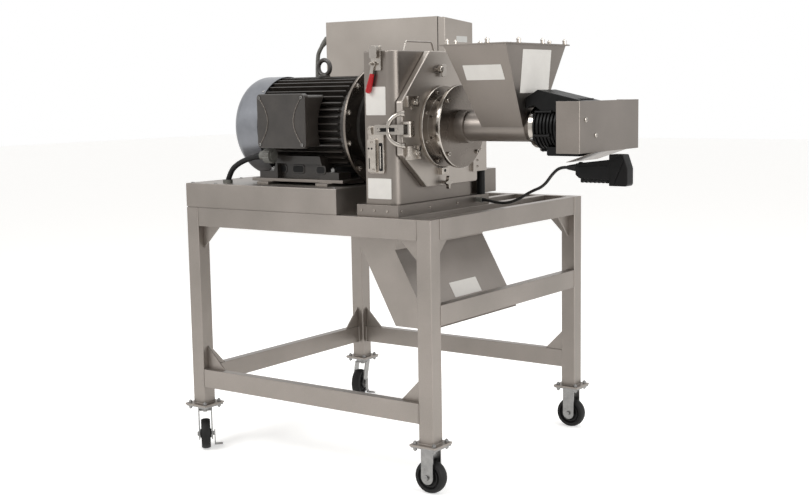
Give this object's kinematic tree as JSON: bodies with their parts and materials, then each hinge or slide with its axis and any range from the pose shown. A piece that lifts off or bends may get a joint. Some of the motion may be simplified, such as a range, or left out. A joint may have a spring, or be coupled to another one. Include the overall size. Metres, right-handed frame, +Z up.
{
  "type": "disc mill",
  "caption": "Motor-driven disc mill with a hinged grinding chamber door, screw feeder, hopper, control enclosure and outlet chute on a castered frame.",
  "frame": {"origin": "on the floor under the middle of the machine's overall box", "axes": "+X along the mill shaft towards the feeder, +Y away from the operator's side, +Z up"},
  "size_m": [1.8998, 1.2368, 1.795],
  "materials": {
    "stainless": "bead-blasted satin",
    "polished_stainless": "polished",
    "zinc_steel": "bright zinc",
    "black_rubber": "matte",
    "motor_paint": "semi-gloss near black",
    "fan_cover_paint": "silver grey",
    "grey_plastic": "matte",
    "black_coating": "satin black",
    "machined_steel": "machined",
    "cast_iron": "as cast",
    "black_plastic": "matte",
    "red_grip": "moulded red"
  },
  "bodies": {
    "frame": {"frame_legs": "stainless", "top_rails": "stainless", "lower_rails": "stainless", "cross_rails": "stainless", "corner_gussets": "stainless", "foot_plates": "stainless", "motor_base": "stainless", "motor_rails": "stainless", "mill_housing": "stainless", "mill_plinth": "stainless", "discharge_chute": "stainless", "door_interlock": "stainless", "enclosure_body": "stainless", "junction_box": "stainless", "toggle_clamp_base": "polished_stainless", "lift_handle": "polished_stainless", "guard_ring": "polished_stainless", "caster_heads": "zinc_steel", "drive_cord": "black_rubber", "motor_cable": "black_rubber", "motor_frame": "motor_paint", "motor_endshields": "motor_paint", "terminal_box": "motor_paint", "terminal_box_cover": "motor_paint", "fan_cover": "fan_cover_paint", "cable_glands": "grey_plastic", "enclosure_conduit": "grey_plastic", "hinge_post": "black_coating", "lifting_eye": "machined_steel", "shaft_bearings": "machined_steel", "motor_stator": "cast_iron", "mill_adapter": "cast_iron"},
    "rotor": {"main_shaft": "machined_steel", "motor_rotor": "machined_steel", "cooling_fan": "black_plastic", "rotating_disc": "machined_steel"},
    "door": {"door_plate": "stainless", "fixed_disc": "machined_steel", "feed_flange": "polished_stainless", "feed_tube": "stainless", "feed_hopper": "stainless", "gear_motor": "black_coating", "drive_guard": "stainless", "drive_connector": "black_coating", "door_brackets": "stainless"},
    "auger": {"feed_auger": "machined_steel"},
    "clamp": {"clamp_lever": "polished_stainless", "clamp_grip": "red_grip"},
    "latch": {"latch_arm": "polished_stainless"},
    "star_knob_body": {"star_knob": "polished_stainless"},
    "round_knob_body": {"round_knob": "polished_stainless"},
    "enclosure_door_body": {"enclosure_door": "stainless"},
    "swivel_front": {"swivel_fork_front": "zinc_steel"},
    "swivel_back": {"swivel_fork_back": "zinc_steel"},
    "swivel_wheel_front_body": {"swivel_wheel_front": "black_rubber"},
    "swivel_wheel_back_body": {"swivel_wheel_back": "black_rubber"},
    "brake_front": {"brake_lever_front": "zinc_steel"},
    "brake_back": {"brake_lever_back": "zinc_steel"},
    "rigid_wheel_front_body": {"rigid_wheel_front": "black_rubber"},
    "rigid_wheel_back_body": {"rigid_wheel_back": "black_rubber"}
  },
  "joints": [
    {"name": "mill_shaft_turn", "type": "hinge", "parent": "frame", "child": "rotor", "pos_m": [-0.31205, -0.25503, 1.346], "axis": [1, 0, 0], "continuous": true},
    {"name": "mill_door_swing", "type": "hinge", "parent": "frame", "child": "door", "pos_m": [0.13645, 0.03697, 1.2], "axis": [0, 0, 1], "range_deg": [0, 110], "deforming": ["drive_cord"]},
    {"name": "feed_screw_turn", "type": "hinge", "parent": "door", "child": "auger", "pos_m": [0.38795, -0.25503, 1.346], "axis": [1, 0, 0], "continuous": true},
    {"name": "latch_swing", "type": "hinge", "parent": "door", "child": "latch", "pos_m": [0.17295, -0.50903, 1.343], "axis": [0, 0, 1], "range_deg": [0, 100]},
    {"name": "clamp_swing", "type": "hinge", "parent": "frame", "child": "clamp", "pos_m": [0.03795, -0.54703, 1.582], "axis": [0, 1, 0], "range_deg": [0, 100]},
    {"name": "star_knob_turn", "type": "hinge", "parent": "door", "child": "star_knob_body", "pos_m": [0.16795, -0.25503, 1.133], "axis": [1, 0, 0], "range_deg": [0, 720]},
    {"name": "round_knob_turn", "type": "hinge", "parent": "door", "child": "round_knob_body", "pos_m": [0.16795, -0.28703, 1.56], "axis": [1, 0, 0], "range_deg": [0, 360]},
    {"name": "enclosure_door_swing", "type": "hinge", "parent": "frame", "child": "enclosure_door_body", "pos_m": [-0.1843, 0.44597, 1.4], "axis": [0, 0, 1], "range_deg": [0, 90]},
    {"name": "swivel_front_turn", "type": "hinge", "parent": "frame", "child": "swivel_front", "pos_m": [-0.8928, -0.53528, 0.16], "axis": [0, 0, 1], "continuous": true},
    {"name": "swivel_wheel_front_roll", "type": "hinge", "parent": "swivel_front", "child": "swivel_wheel_front_body", "pos_m": [-0.86452, -0.56357, 0.0635], "axis": [-0.7071, -0.7071, 0], "continuous": true},
    {"name": "brake_front_press", "type": "hinge", "parent": "swivel_front", "child": "brake_front", "pos_m": [-0.86452, -0.56357, 0.0635], "axis": [-0.7071, -0.7071, 0], "range_deg": [0, 20]},
    {"name": "swivel_back_turn", "type": "hinge", "parent": "frame", "child": "swivel_back", "pos_m": [-0.8928, 0.56122, 0.16], "axis": [0, 0, 1], "continuous": true},
    {"name": "swivel_wheel_back_roll", "type": "hinge", "parent": "swivel_back", "child": "swivel_wheel_back_body", "pos_m": [-0.88245, 0.52258, 0.0635], "axis": [-0.9659, -0.2588, 0], "continuous": true},
    {"name": "brake_back_press", "type": "hinge", "parent": "swivel_back", "child": "brake_back", "pos_m": [-0.88245, 0.52258, 0.0635], "axis": [-0.9659, -0.2588, 0], "range_deg": [0, 20]},
    {"name": "rigid_wheel_front_roll", "type": "hinge", "parent": "frame", "child": "rigid_wheel_front_body", "pos_m": [0.2687, -0.53528, 0.0635], "axis": [0, -1, 0], "continuous": true},
    {"name": "rigid_wheel_back_roll", "type": "hinge", "parent": "frame", "child": "rigid_wheel_back_body", "pos_m": [0.2687, 0.56122, 0.0635], "axis": [0, -1, 0], "continuous": true}
  ]
}
